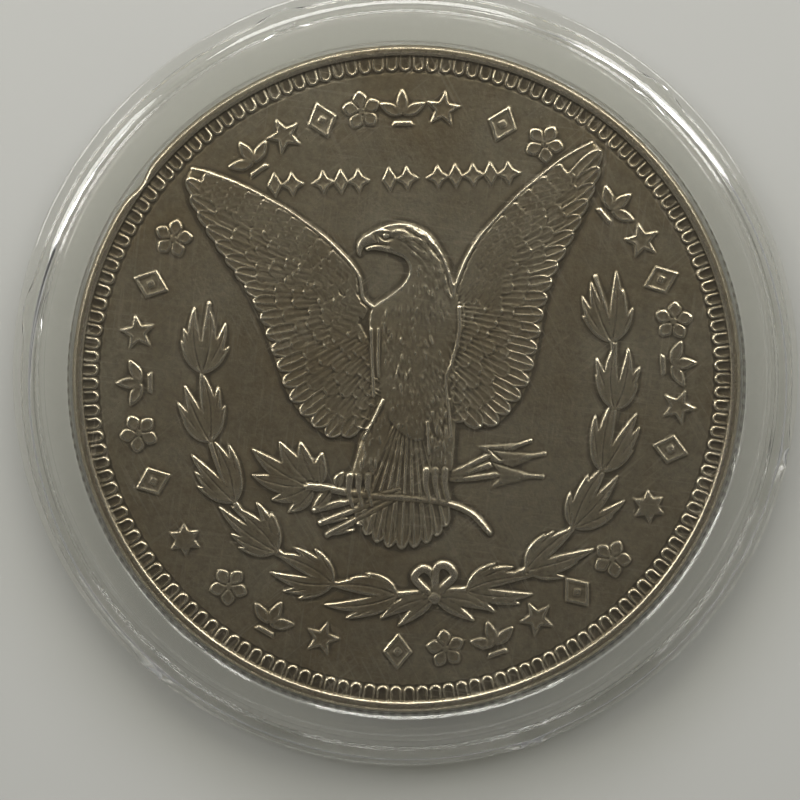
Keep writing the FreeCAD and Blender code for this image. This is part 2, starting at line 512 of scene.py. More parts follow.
RIDGES = (   # down the body's right side, two down its left, and along each leg
    [(3.25, 4.0), (3.15, 2.6), (2.65, 1.0), (2.2, -0.1), (2.25, -1.7), (2.3, -3.3)],
    [(-1.85, 3.1), (-1.9, 1.3), (-1.95, -0.7)],
    [(-1.4, 3.1), (-1.55, 1.6), (-1.6, 0.4)],
    [(-1.45, -1.0), (-2.1, -2.1), (-2.75, -3.1)],
    [(1.0, -2.4), (0.95, -4.2)],
)
BEAK = [(-1.35, 8.55), (-1.95, 8.4), (-2.3, 7.95), (-2.3, 7.45), (-2.1, 7.3), (-2.0, 7.65), (-1.5, 7.85),
        (-1.1, 7.95)]
NECK = [(-0.9, 8.5), (0.6, 8.2), (1.6, 7.0), (1.9, 5.6), (1.2, 4.2)]
STEM = [(-6.3, -5.6), (-5.2, -5.75), (-3.9, -6.1), (-2.2, -6.45), (-0.4, -6.7), (1.6, -7.1), (3.1, -7.8),
        (4.1, -9.0)]
OLIVE_LEAVES = (   # root, tip, half-width
    ((-6.1, -5.5), (-9.1, -3.2), 0.5), ((-6.3, -5.6), (-9.2, -4.7), 0.5), ((-6.2, -5.7), (-8.2, -6.2), 0.42),
    ((-5.8, -5.8), (-7.3, -7.0), 0.4), ((-6.0, -5.3), (-7.5, -2.9), 0.5), ((-5.6, -5.4), (-6.3, -3.0), 0.46),
    ((-5.3, -5.5), (-5.1, -3.7), 0.4), ((-4.8, -5.9), (-5.9, -6.9), 0.34), ((-4.4, -5.8), (-4.0, -4.9), 0.3),
)
ARROW_HEAD = [(0, 0), (-3.2, 0.9), (-2.5, 0), (-3.2, -0.9)]
ARROWS = (((6.8, -3.9), 16), ((7.55, -4.7), 6), ((7.35, -6.0), -6))   # tip, lean
ARROW_GRIP = (1.2, -5.7)

LONG_FEATHER = dict(half_width=0.52, rise=0.02, shape=feather_shape,
                    base=0.035, rib=0.04, slope=0.055, edge=0.055)
COVERT = dict(rise=0.02, shape=feather_shape, rib=0.02, slope=0.03, edge=0.032)
SCALE = dict(half_width=0.27, rise=0.015, shape=feather_shape, base=0.075, slope=0.02, edge=0.022)
TAIL_FEATHER = dict(half_width=0.50, rise=0.02, shape=feather_shape,
                    base=0.03, rib=0.06, slope=0.06, edge=0.06)
NECK_FEATHER = dict(half_width=0.30, rise=0.02, base=0.125, rib=-0.04, slope=0.04, edge=0.035)


def draw_long_feathers(relief, arm, tips, side):
    """The wing's long feathers, each laid over the one above it."""
    for share in 1 - np.arange(LONG_FEATHERS) / (LONG_FEATHERS - 1):
        blade(relief, along(arm, share), along(tips, share), bend=-0.03 * side, **LONG_FEATHER)


def draw_coverts(relief, arm, tips):
    """Rows of shorter feathers over the long ones, uneven at their ends."""
    for row, reach in enumerate(COVERT_ROWS):
        for k, share in enumerate(1 - np.arange(LONG_FEATHERS) / (LONG_FEATHERS - 1)):
            root = along(arm, share)
            run = along(tips, share) - root
            end = reach + 0.06 * math.sin(2.4 * k + 1.7 * row)
            blade(relief, root + run * max(end - 0.40, 0), root + run * end,
                  half_width=0.30 + 0.20 * end, base=0.054 + 0.006 * row, **COVERT)


def draw_scales(relief, front, side):
    """Rows of small feathers that follow the wing's front edge."""
    line = spline(front, 8)
    ahead = np.gradient(line, axis=0)
    ahead /= np.linalg.norm(ahead, axis=1)[:, None]
    inward = side * np.stack([ahead[:, 1], -ahead[:, 0]], 1)
    taper = np.linspace(1.0, 0.35, len(line))[:, None]
    for row, inset in enumerate(SCALE_ROWS):
        roots = line + inward * inset * taper
        for k in range(len(line) // 3 - 3):
            i = 3 * k + row % 2
            blade(relief, roots[i], roots[i] + 0.95 * ahead[i] + 0.25 * inward[i], **SCALE)


def draw_wing(relief, side):
    """One raised wing: long feathers, rows of short ones over them, and a bright front edge."""
    def place(points):
        return np.asarray(points, float) * (side, 1) + (WING_SHIFT, 0)

    arm, tips, front = place(WING_ARM), place(WING_TIPS), place(WING_FRONTS[side])
    pillow(relief, np.vstack([spline(front, 6), spline(tips, 4)[::-1]]), 0.03, 0.06, 0.6)
    draw_long_feathers(relief, arm, tips, side)
    draw_coverts(relief, arm, tips)
    draw_scales(relief, front, side)
    cord(relief, front[:5], 0.12, 0.04, 0.07, base=0.11, lay=True)
    cord(relief, front[4:], 0.07, 0.03, 0.05, base=0.08, lay=True)


def draw_tail(relief):
    """A fan of feathers, the middle one on top."""
    root = np.array([-0.1, -2.2])
    middle = np.array([-0.55, -4.6])
    for order in (-4, 4, -3, 3, -2, 2, -1, 1, 0):
        angle = math.radians(-95 + order * 8.6)
        length = 5.0 - 0.035 * order * order
        tip = middle + length * np.array([math.cos(angle), math.sin(angle)])
        blade(relief, root + (0.12 * order, 0), tip, **TAIL_FEATHER)


def draw_neck(relief):
    """Pointed feathers down the back of the neck."""
    for k in range(9):
        at = along(NAPE, k / 8)
        root, tip = turned([(-0.5, 0.25), (0.55, -0.45)], -45 * k / 8, at)
        blade(relief, root, tip, **NECK_FEATHER)


def draw_head(relief):
    """The beak and its gape, then the brow's hollow, the eye with a ring round it, and the brow."""
    pillow(relief, spline(BEAK, 5, closed=True), 0.08, 0.155, 0.35)
    groove(relief, [(-1.95, 7.74), (-1.2, 7.9), (-0.5, 7.78)], 0.07, 0.06)
    groove(relief, [(-0.95, 8.35), (-0.65, 8.15), (-0.25, 8.2)], 0.09, 0.05)
    cord(relief, [(-0.66, 8.32), (-0.6, 8.33)], 0.15, 0.03, base=0.150, lay=True)
    groove(relief, turned(star(12, 0.22, 0.22), 0, (-0.62, 8.32)), 0.05, 0.04)
    cord(relief, [(-1.2, 8.62), (-0.7, 8.62), (-0.2, 8.48)], 0.1, 0.03, 0.05, base=0.155, lay=True)


def feathering(random):
    """Fine strokes down the neck, over the breast and down the legs: x, y, lean and length."""
    for _ in range(160):
        share = random.uniform(0, 1)
        centre = along(NECK, share)
        lean = math.radians(-8 - 95 * share)
        width = 0.35 + 0.9 * share
        yield (centre[0] + random.uniform(-width, width), centre[1] + random.uniform(-width, width) * 0.6,
               lean + random.uniform(-0.2, 0.2), random.uniform(0.35, 0.7))
    for _ in range(420):
        y = random.uniform(-4.0, 4.6)
        x = random.uniform(-1.6, 2.7) * (1 - 0.05 * abs(y - 2)) + 0.3
        lean = math.radians(-90) + 0.12 * (x - 0.5) + random.uniform(-0.25, 0.25)
        yield x, y, lean, random.uniform(0.3, 0.6)
    for _ in range(130):
        y = random.uniform(-5.2, -1.6)
        side = random.choice((-1, 1))
        leg = -2.2 + 0.25 * (y + 3) if side < 0 else 1.6 + 0.1 * (y + 3)
        yield leg + random.uniform(-0.5, 0.5), y, math.radians(-95), random.uniform(0.4, 0.8)


def draw_strokes(relief, random):
    """The fine feathering, each stroke a low line that fades at its ends."""
    for x, y, lean, length in feathering(random):
        ahead = np.array([math.cos(lean), math.sin(lean)])
        where, gx, gy = relief.window([(x, y), (x, y) + length * ahead], 0.15)
        s = -(gx - x) * ahead[1] + (gy - y) * ahead[0]
        t = ((gx - x) * ahead[0] + (gy - y) * ahead[1]) / length
        relief.add(where, STROKE_RISE * np.exp(-((s / LINE_WIDTH) ** 2)) * np.exp(-(((t - 0.5) / 0.35) ** 2)))


def draw_body(relief, random):
    """The body with its head and legs, and the ridges along their sides."""
    pillow(relief, spline(FIGURE, 6, closed=True), 0.115, 0.160, 1.3)
    for outline in LEGS:
        pillow(relief, spline(outline, 6, closed=True), 0.05, 0.150, 0.9, lay=False)
    draw_neck(relief)
    for line in RIDGES:
        cord(relief, line, 0.10, 0.055, 0.07, base=0.145, lay=True)
    draw_head(relief)
    draw_strokes(relief, random)


def draw_arrows(relief):
    """Three arrows: their feathered ends at the lower left, then their shafts and heads at the right."""
    for k, y in enumerate((-7.0, -7.75, -8.45)):
        start = (-5.75 + 0.3 * k, y)
        cord(relief, [start, (-0.9, -6.15 - 0.2 * k)], 0.17, 0.07, base=0.05, lay=True)
        for side in (-1, 1):
            vane = np.array(start) + (0.1, 0)
            blade(relief, vane, vane + (1.5, 0.34 + 0.16 * side), 0.12, 0.05, base=0.06)
    for tip, lean in ARROWS:
        back = turned([(-2.7, 0)], lean, tip)[0]
        middle = ((ARROW_GRIP[0] + back[0]) / 2, (back[1] - 5.9) / 2)
        cord(relief, [ARROW_GRIP, middle, back], 0.16, 0.04, base=0.035, lay=True)
        plate(relief, turned(ARROW_HEAD, lean, tip), 0.06, 0.22, lay=True)
        cord(relief, [tip, back], 0.10, 0.03, base=0.04)


def draw_branch(relief):
    """The olive branch, with its leaves at the left."""
    cord(relief, STEM, 0.24, 0.09, 0.16, base=0.06, lay=True)
    for root, tip, width in OLIVE_LEAVES:
        blade(relief, root, tip, width, 0.055, bend=0.06, base=0.03, rib=-0.035, edge=0.03)


def draw_feet(relief):
    """Three toes of each foot, over the branch and the arrows."""
    for x in (-3.1, 1.3):
        for k in range(3):
            toe = [(x - 0.55 + 0.52 * k, -5.2), (x - 0.65 + 0.55 * k, -6.0), (x - 0.5 + 0.55 * k, -6.9)]
            cord(relief, toe, 0.24, 0.085, 0.12, base=0.09, lay=True)


# The wreath round the lower half

KNOT = (0.7, -12.5)
BOW = (
    [KNOT, (0.0, -11.8), (-0.35, -11.2), (0.2, -10.8), (0.75, -11.3), (0.75, -12.3)],
    [KNOT, (1.3, -11.9), (1.9, -11.3), (1.5, -10.7), (0.9, -10.9), (0.75, -12.3)],
)


def draw_wreath(relief, random):
    """Two branches that rise on the two sides, tied below."""
    for side in (-1, 1):
        stem = [(0.6, -12.2), (0.6 + side * 3.4, -12.0), (0.4 + side * 7.2, -10.3),
                (0.2 + side * 10.3, -6.6), (0.1 + side * 11.7, -1.7), (0.1 + side * 11.6, 2.4),
                (0.1 + side * 11.0, 5.2)]
        cord(relief, stem, 0.2, 0.08, 0.12, base=0.03)
        for share in WREATH_NODES:
            at = along(stem, share)
            ahead = along(stem, min(share + 0.03, 1)) - along(stem, max(share - 0.03, 0))
            draw_spray(relief, random, at, math.degrees(math.atan2(ahead[1], ahead[0])))
    draw_bow(relief)


def draw_spray(relief, random, at, heading):
    """The leaves that leave one place on the wreath's stem."""
    for lean, length, width in WREATH_LEAVES:
        angle = math.radians(heading + lean + random.uniform(-5, 5))
        reach = length * random.uniform(0.88, 1.08)
        tip = at + reach * np.array([math.cos(angle), math.sin(angle)])
        bend = math.copysign(random.uniform(0.02, 0.08), lean)
        blade(relief, at, tip, width, 0.06, bend=bend, base=0.025, rib=-0.04, edge=0.032)


def draw_bow(relief):
    """The ribbon: two loops, two pairs of ends and a knot."""
    for loop in BOW:
        cord(relief, loop, 0.24, 0.08, base=0.05, lay=True)
    for side in (-1, 1):
        end = np.array((KNOT[0] + side * 3.2, -13.5))
        blade(relief, KNOT, end, 0.42, 0.06, bend=0.08 * side, base=0.05, rib=-0.03, edge=0.02)
        blade(relief, KNOT, end + (side * -1.0, -0.5), 0.34, 0.05, base=0.05, rib=-0.03, edge=0.02)
    knot = turned([(0, 0.4), (-0.4, 0), (0, -0.4), (0.4, 0)], 0, KNOT)
    pillow(relief, spline(knot, 6, closed=True), 0.08, 0.17, 0.4)


# The two faces

def upper_face():
    """The bird in its wreath, with the legend round it."""
    relief = Relief()
    random = np.random.default_rng(RELIEF_SEED)
    draw_legend(relief)
    draw_motto(relief)
    draw_wreath(relief, random)
    for side in (-1, 1):
        draw_wing(relief, side)
    draw_tail(relief)
    draw_body(relief, random)
    draw_arrows(relief)
    draw_branch(relief)
    draw_feet(relief)
    draw_border(relief)
    return relief


def lower_face():
    """The hidden face: a ring of leaves round a many-rayed star, and a ring of pellets."""
    relief = Relief()
    for k in range(36):
        at = turned([(0, 16.2)], 10 * k)[0]
        cord(relief, [at, at + 0.01], 0.35, MARK_RISE)
    for k in range(24):
        for end, turn in (((3.3, 13.2), 15 * k), ((3.4, 10.6), 15 * k + 7)):
            root, tip = turned([(0, 11.6), end], turn)
            blade(relief, root, tip, 0.5, 0.09, base=0.01, rib=-0.04)
    pillow(relief, star(16, 8.4, 4.6), 0.03, 0.17, 2.2)
    for k in range(16):
        line = turned([(0, 1.5), (0, 8.0)], 22.5 * k)
        cord(relief, line, 0.16, 0.05, 0.06, base=0.10)
    pillow(relief, star(24, 2.2, 2.2), 0.12, 0.18, 0.6)
    draw_border(relief)
    return relief


# ---- Meshes ----

def height_at(height, x, y):
    """A height map read between its cells."""
    u = np.clip((x + MAP_HALF) / MAP_PITCH, 0, len(height) - 1.001)
    v = np.clip((y + MAP_HALF) / MAP_PITCH, 0, len(height) - 1.001)
    i, j = u.astype(int), v.astype(int)
    a, b = u - i, v - j
    near = height[j, i] * (1 - a) + height[j, i + 1] * a
    far = height[j + 1, i] * (1 - a) + height[j + 1, i + 1] * a
    return near * (1 - b) + far * b


def columns_at(radius, widest):
    """How many points a ring of the coin has: halved while its points stand closer than need be."""
    columns = COLUMNS
    while columns % 2 == 0 and 2 * math.pi * radius / (columns / 2) <= widest:
        columns //= 2
    return columns


def bridge(faces, outer, n, inner, m):
    """Joins a ring of n points to the next ring of m: as many, half as many or twice as many."""
    if n == m:
        k = np.arange(n)
        l = (k + 1) % n
        faces.append(np.stack([outer + k, outer + l, inner + l], 1))
        faces.append(np.stack([outer + k, inner + l, inner + k], 1))
    elif n == 2 * m:
        k = np.arange(m)
        l = (k + 1) % m
        a, b, c = 2 * k, 2 * k + 1, (2 * k + 2) % n
        faces.append(np.stack([outer + a, outer + b, inner + k], 1))
        faces.append(np.stack([outer + b, outer + c, inner + l], 1))
        faces.append(np.stack([outer + b, inner + l, inner + k], 1))
    else:
        k = np.arange(n)
        l = (k + 1) % n
        a, b, c = 2 * k, 2 * k + 1, (2 * k + 2) % m
        faces.append(np.stack([outer + k, inner + b, inner + a], 1))
        faces.append(np.stack([outer + k, outer + l, inner + b], 1))
        faces.append(np.stack([outer + l, inner + c, inner + b], 1))


def mesh_from(name, points, triangles, smooth_angle=None):
    """A smooth-shaded object from points in millimetres and triangles."""
    mesh = bpy.data.meshes.new(name)
    mesh.vertices.add(len(points))
    mesh.vertices.foreach_set("co", (points * MM).astype(np.float32).ravel())
    mesh.loops.add(3 * len(triangles))
    mesh.loops.foreach_set("vertex_index", triangles.astype(np.int32).ravel())
    mesh.polygons.add(len(triangles))
    mesh.polygons.foreach_set("loop_start", np.arange(0, 3 * len(triangles), 3, dtype=np.int32))
    mesh.update(calc_edges=True)
    mesh.validate()
    mesh.shade_smooth()
    if smooth_angle is not None:
        mesh.set_sharp_from_angle(angle=math.radians(smooth_angle))
    piece = bpy.data.objects.new(name, mesh)
    bpy.context.scene.collection.objects.link(piece)
    return piece


def mesh_from_rings(name, rings, middles, smooth_angle=None):
    """A closed mesh: each ring joined to the next, and the two ends filled round their middles."""
    counts = [len(ring) for ring in rings]
    starts = [sum(counts[:k]) for k in range(len(rings))]
    faces = []
    for k in range(1, len(rings)):
        bridge(faces, starts[k], counts[k], starts[k - 1], counts[k - 1])
    for end, centre, order in ((0, sum(counts), (0, 1, 2)), (-1, sum(counts) + 1, (1, 0, 2))):
        ring = starts[end] + np.arange(counts[end])
        fan = np.stack([ring, np.roll(ring, -1), np.full(len(ring), centre)], 1)
        faces.append(fan[:, order])
    return mesh_from(name, np.vstack(rings + [middles]), np.vstack(faces), smooth_angle)


def struck(relief):
    """A face's heights, with the strike's softness, and its toning and painted shading.

    It is how far each place stands above what is round it, less its soil: over a broad reach, toning in
    hollows and wear on high points; over a fine reach, painted shade in grooves and a painted highlight on
    ridges.
    """
    height = np.minimum(relief.blurred(STRIKE_SOFTNESS), FIELD_DEPTH + 0.005)
    toning_and_shading = height - relief.blurred(CREVICE_REACH, height) + relief.soil
    # painted shade in fine grooves and a painted highlight on fine ridges
    toning_and_shading += FINE_SHADING_SHARE * (height - relief.blurred(FINE_SHADING_REACH, height))
    return height, toning_and_shading


def coin_circle(radius, columns, reeded=0.0):
    """A ring's x and y, dented by the ding and cut by a share of the reeds' depth, and the reeds' wave."""
    angle = 2 * math.pi * np.arange(columns) / columns
    reed = 0.5 - 0.5 * np.clip(REED_SHARPNESS * np.cos(REEDS * angle), -1, 1)
    r = radius - REED_DEPTH * reeded * reed
    from_ding = (angle - math.radians(DING_ANGLE)) * COIN_RADIUS
    near_rim = np.clip((radius - DING_INNER) / DING_FADE, 0, 1)
    r = r - DING_DEPTH * np.exp(-((from_ding / DING_LENGTH) ** 2)) * near_rim
    return r * np.cos(angle), r * np.sin(angle), reed


class CoinRings:
    """The coin as rings of points, from its upper face's middle to its lower face's, and their toning and
    painted shading.
    """

    def __init__(self):
        self.rings = []
        self.toning_and_shading_values = []

    def add(self, x, y, z, toning_and_shading):
        self.rings.append(np.stack([x, y, z], 1))
        self.toning_and_shading_values.append(toning_and_shading)

    def add_face(self, radius, columns, face, field, up):
        """A ring of a struck face: its field's height, and up is 1, or -1 for the lower face."""
        height, toning_and_shading = face
        x, y, _ = coin_circle(radius, columns)
        turn = math.radians(COIN_TURN)
        u = up * (x * math.cos(turn) + y * math.sin(turn))
        v = y * math.cos(turn) - x * math.sin(turn)
        self.add(x, y, field + up * height_at(height, u, v), height_at(toning_and_shading, u, v))

    def add_edge(self, radius, z, reeded=0.0, toning_and_shading=0.0):
        """A ring of the edge, with a share of the reeds' depth."""
        x, y, reed = coin_circle(radius, COLUMNS, reeded)
        self.add(x, y, np.full(COLUMNS, z, float), toning_and_shading - REED_SOIL * reeded * reed)

    def add_rounding(self, leans, rim, up):
        """The rounding between the rim's height and the edge."""
        for lean in np.radians(leans):
            radius = COIN_RADIUS - RIM_EDGE + RIM_EDGE * math.sin(lean)
            # coloured brighter: wear and a painted highlight along the rim's edge
            self.add_edge(radius, rim - up * RIM_EDGE * (1 - math.cos(lean)), toning_and_shading=RIM_WEAR_AND_HIGHLIGHT)

    def make(self, name):
        """The rings as one closed mesh that carries their toning and painted shading."""
        middles = [self.rings[0].mean(0), self.rings[-1].mean(0)]
        coin = mesh_from_rings(name, self.rings, middles)
        toning_and_shading_values = np.concatenate(self.toning_and_shading_values + [[self.toning_and_shading_values[0].mean(), 0.0]])
        attribute = coin.data.attributes.new("toning_and_shading", "FLOAT", "POINT")
        attribute.data.foreach_set("value", toning_and_shading_values.astype(np.float32))
        return coin


def make_coin():
    """One closed mesh: the struck upper face, the reeded edge and the struck lower face."""
    upper, lower = struck(upper_face()), struck(lower_face())
    coin = CoinRings()
    flat = COIN_RADIUS - RIM_EDGE
    coin_bottom = COIN_TOP - COIN_THICKNESS
    for radius in np.arange(flat, UPPER_STEP / 2, -UPPER_STEP)[::-1]:
        coin.add_face(radius, columns_at(radius, UPPER_ARC), upper, COIN_TOP - FIELD_DEPTH, 1)
    coin.add_rounding(RIM_LEANS, COIN_TOP, 1)
    high, low = COIN_TOP - RIM_EDGE, coin_bottom + RIM_EDGE
    for share, reeded in EDGE_RINGS:
        coin.add_edge(COIN_RADIUS, high + (low - high) * share, reeded)
    coin.add_rounding(RIM_LEANS[::-1], coin_bottom, -1)
    for radius in np.arange(flat, LOWER_STEP / 2, -LOWER_STEP):
        columns = max(columns_at(radius, LOWER_ARC), len(coin.rings[-1]) // 2)
        coin.add_face(radius, columns, lower, coin_bottom + FIELD_DEPTH, -1)
    return coin.make("coin_struck")


def rounded(corners, steps=6):
    """A line through corners (radius, height, rounding), each rounded by an arc."""
    points = []
    for i, (x, z, r) in enumerate(corners):
        here = np.array([x, z])
        if r == 0:
            points.append(here)
            continue
        before = np.array(corners[i - 1][:2]) - here
        after = np.array(corners[i + 1][:2]) - here
        before, after = before / np.hypot(*before), after / np.hypot(*after)
        half = math.acos(np.clip(before @ after, -1, 1)) / 2
        bisector = (before + after) / np.hypot(*(before + after))
        centre = here + bisector * r / math.sin(half)
        start = here + before * r / math.tan(half) - centre
        end = here + after * r / math.tan(half) - centre
        sweep = math.atan2(start[0] * end[1] - start[1] * end[0], start @ end)
        for k in range(steps + 1):
            a = sweep * k / steps
            points.append(centre + np.array([
                start[0] * math.cos(a) - start[1] * math.sin(a),
                start[0] * math.sin(a) + start[1] * math.cos(a),
            ]))
    return np.array(points)


def split_long(line, longest):
    """The line with its long runs divided, so that a swelling can follow it."""
    out = [line[0]]
    for a, b in zip(line, line[1:]):
        pieces = max(1, int(np.ceil(abs(b[1] - a[1]) / longest)))
        out.extend(a + (b - a) * k / pieces for k in range(1, pieces + 1))
    return np.array(out)


def grip_swell(angle, chord, radius):
    """From 0 to 1, how far a grip swells at an angle round the capsule."""
    pitch = 2 * math.pi / GRIPS
    first = math.radians(FIRST_GRIP)
    away = np.abs((angle - first + pitch / 2) % pitch - pitch / 2) * radius
    return np.cos(0.5 * np.pi * np.clip(away / (chord / 2), 0, 1)) ** 2


def shell(name, corners, wall, proud, chord, low, high):
    """A clear shell turned from a profile that starts and ends on the axis, with six grips on a wall."""
    line = split_long(rounded(corners), 0.25)[1:-1]
    angle = 2 * math.pi * np.arange(SHELL_COLUMNS) / SHELL_COLUMNS
    swell = proud * grip_swell(angle, chord, wall)
    rings = []
    for r, z in line:
        end = np.clip((z - low) / GRIP_FADE, 0, 1) * np.clip((high - z) / GRIP_FADE, 0, 1)
        near_wall = np.clip(1 - (wall - r) / GRIP_DEPTH, 0, 1) if r <= wall + 0.001 else 0
        out = r + swell * end * near_wall
        rings.append(np.stack([out * np.cos(angle), out * np.sin(angle), np.full(len(angle), z)], 1))
    middles = [(0, 0, corners[0][1]), (0, 0, corners[-1][1])]
    return mesh_from_rings(name, rings, middles, SHARP_ANGLE)


def make_base():
    """The lower shell: window, pocket, ring with six ribs, flange and foot."""
    corners = [
        (0, FLANGE_TOP, 0),
        (POCKET_RADIUS, FLANGE_TOP, 0),
        (POCKET_RADIUS, RING_TOP - LEAD_IN, 0),
        (POCKET_RADIUS + LEAD_IN, RING_TOP - JOINT_AIR, 0),
        (RING_RADIUS - LEAD_IN, RING_TOP - JOINT_AIR, 0),
        (RING_RADIUS, RING_TOP - LEAD_IN, 0),
        (RING_RADIUS, FLANGE_TOP, FINE_EDGE),
        (FLANGE_RADIUS, FLANGE_TOP, FLANGE_EDGE),
        (FLANGE_RADIUS, 0, FLANGE_EDGE),
        (FOOT_RADIUS, 0, 0),
        (FOOT_RADIUS, RECESS, 0),
        (0, RECESS, 0),
    ]
    return shell("base_clear", corners, RING_RADIUS, RIB_PROUD, RIB_CHORD,
                 FLANGE_TOP + GRIP_MARGIN, RING_TOP - GRIP_MARGIN)


def make_lid():
    """The upper shell: window, bevelled edge and skirt with six pads."""
    corners = [
        (0, LID_TOP - RECESS, 0),
        (FOOT_RADIUS - STEP_DRAFT, LID_TOP - RECESS, FINE_EDGE),
        (FOOT_RADIUS, LID_TOP, FINE_EDGE),
        (SKIRT_RADIUS, LID_TOP, SKIRT_EDGE),
        (SKIRT_RADIUS, SKIRT_BOTTOM, SKIRT_LIP),
        (SKIRT_BORE, SKIRT_BOTTOM, SKIRT_LIP),
        (SKIRT_BORE, RING_TOP, 0),
        (0, RING_TOP, 0),
    ]
    return shell("lid_clear", corners, SKIRT_RADIUS, PAD_PROUD, PAD_CHORD,
                 SKIRT_BOTTOM + GRIP_MARGIN / 2, LID_TOP - SKIRT_EDGE / 4)


# ---- Materials ----

class Nodes:
    """A material's node tree, with short ways to add to it."""

    def __init__(self, name):
        self.material = bpy.data.materials.new(name)
        self.material.use_nodes = True
        self.tree = self.material.node_tree
        self.shader = self.tree.nodes["Principled BSDF"]
        self.output = self.tree.nodes["Material Output"]

    def feed(self, node, values):
        """Links or sets a node's inputs."""
        for key, value in values.items():
            if isinstance(value, bpy.types.NodeSocket):
                self.tree.links.new(value, node.inputs[key])
            else:
                node.inputs[key].default_value = value

    def add(self, kind, values=None, **settings):
        """A new node with its settings and its inputs."""
        node = self.tree.nodes.new(kind)
        for key, value in settings.items():
            setattr(node, key, value)
        self.feed(node, values or {})
        return node

    def math(self, operation, a, b):
        return self.add("ShaderNodeMath", {0: a, 1: b}, operation=operation).outputs[0]

    def ramp(self, value, low, high):
        """From 0 to 1 as value goes from low to high."""
        return self.add("ShaderNodeMapRange", {0: value, 1: low, 2: high, 3: 0.0, 4: 1.0}).outputs[0]

    def mix(self, share, a, b):
        """A colour between two, each a socket or three numbers: a where share is 0, b where it is 1."""
        a, b = (side if isinstance(side, bpy.types.NodeSocket) else (*side, 1.0) for side in (a, b))
        return self.add("ShaderNodeMix", {0: share, 6: a, 7: b}, data_type="RGBA").outputs[2]

    def noise(self, at, scale, detail=2.0, rough=0.5):
        values = {"Vector": at, "Scale": scale, "Detail": detail, "Roughness": rough}
        return self.add("ShaderNodeTexNoise", values).outputs[0]

    def place(self, degrees=0.0, scale=(1.0, 1.0, 1.0)):
        """Object coordinates, in metres, turned about the capsule's axis and then stretched."""
        source = self.add("ShaderNodeTexCoord").outputs["Object"]
        turn = (0, 0, math.radians(degrees))
        rotated = self.add("ShaderNodeMapping", {"Vector": source, "Rotation": turn}).outputs[0]
        return self.add("ShaderNodeMapping", {"Vector": rotated, "Scale": scale}).outputs[0]

    def hairlines(self, directions, across, along_scale, keep):
        """Thin scratches in several directions, from 0 to 1."""
        total = None
        for k, degrees in enumerate(directions):
            lines = self.noise(self.place(degrees, (along_scale, across, 1.0)), 1.0, 1.0)
            patches = self.noise(self.place(degrees + 11 * k), 160.0 + 30 * k, 1.0)
            line = self.ramp(lines, keep, keep + 0.06)
            line = self.math("MULTIPLY", line, self.ramp(patches, 0.46, 0.62))
            total = line if total is None else self.math("MAXIMUM", total, line)
        return total

    def bump(self, height, strength, distance, normal=None):
        values = {"Height": height, "Strength": strength, "Distance": distance}
        if normal is not None:
            values["Normal"] = normal
        return self.add("ShaderNodeBump", values).outputs[0]

    def finish(self, values):
        """Gives the shader its inputs."""
        self.feed(self.shader, values)
        return self.material


def silver():
    """Old silver: worn bright on the high points with a painted highlight on fine ridges, toned brown on the
    field, and dark in the corners from toning and painted shade.
    """
    n = Nodes("toned_silver")
    toning_and_shading = n.add("ShaderNodeAttribute", attribute_name="toning_and_shading").outputs["Fac"]
    cloud = n.noise(n.place(), CLOUD_SCALE, 4.0, 0.6)
    mottle = n.noise(n.place(25), MOTTLE_SCALE, 4.0, 0.7)
    # Dark: toning and painted shade in grooves. Bright: wear and a painted highlight on ridges.
    dark = n.ramp(toning_and_shading, *DARK_TONES)
    bright = n.ramp(toning_and_shading, *BRIGHT_TONES)
    scratches = n.hairlines((8, 63, 97, 141), 5200.0, 260.0, 0.60)
    colour = n.mix(n.ramp(cloud, 0.35, 0.65), SILVER_BROWN, SILVER_GREY)
    for mask, share, tint in (
        (n.ramp(mottle, 0.35, 0.75), MOTTLE_SHARE, SILVER_DARK),
        (dark, DARK_SHARE, SILVER_DARK),
        (bright, BRIGHT_SHARE, SILVER_WORN_AND_HIGHLIGHT),
        (scratches, SCRATCH_SHARE, SILVER_WORN_AND_HIGHLIGHT),
    ):
        colour = n.mix(n.math("MULTIPLY", mask, share), colour, tint)
    rough = n.math("ADD", SILVER_ROUGHNESS, n.math("MULTIPLY", dark, 0.15))
    rough = n.math("ADD", rough, n.math("MULTIPLY", n.math("SUBTRACT", mottle, 0.5), 0.12))
    rough = n.math("SUBTRACT", rough, n.math("MULTIPLY", bright, 0.05))
    grain = n.noise(n.place(), GRAIN_SCALE, 2.0)
    normal = n.bump(scratches, -0.25, 0.00002, n.bump(grain, 0.28, 0.00006))
    return n.finish({"Base Color": colour, "Roughness": rough, "Metallic": 1.0, "Normal": normal})


def clear(name, tint, haze, shadow, depth):
    """Polished clear plastic that lets lamps through, with faint marks of handling."""
    n = Nodes(name)
    scratches = n.hairlines((15, 74, 128), 3800.0, 180.0, 0.64)
    waves = n.bump(n.noise(n.place(), 220.0, 1.0), 0.05, 0.0002)
    path = n.add("ShaderNodeLightPath")
    through = n.add("ShaderNodeBsdfTransparent", {"Color": (*shadow, 1.0)})
    surface = n.shader.outputs[0]
    for kind in ("Is Diffuse Ray", "Is Shadow Ray"):
        mixed = n.add("ShaderNodeMixShader", {0: path.outputs[kind], 1: surface, 2: through.outputs[0]})
        surface = mixed.outputs[0]
    n.feed(n.output, {"Surface": surface})
    return n.finish({
        "Base Color": (*tint, 1.0),
        "Roughness": CLEAR_ROUGHNESS,
        "IOR": CLEAR_IOR,
        "Transmission Weight": 1.0 - haze,
        "Normal": n.bump(scratches, -depth, 0.00001, waves),
    })


def table_top():
    """The pale, faintly mottled table."""
    n = Nodes("table")
    speck = n.noise(n.place(), 60.0, 3.0, 0.5)
    return n.finish({"Base Color": n.mix(speck, TABLE_LOW, TABLE_HIGH), "Roughness": TABLE_ROUGHNESS})


# ---- The scene ----

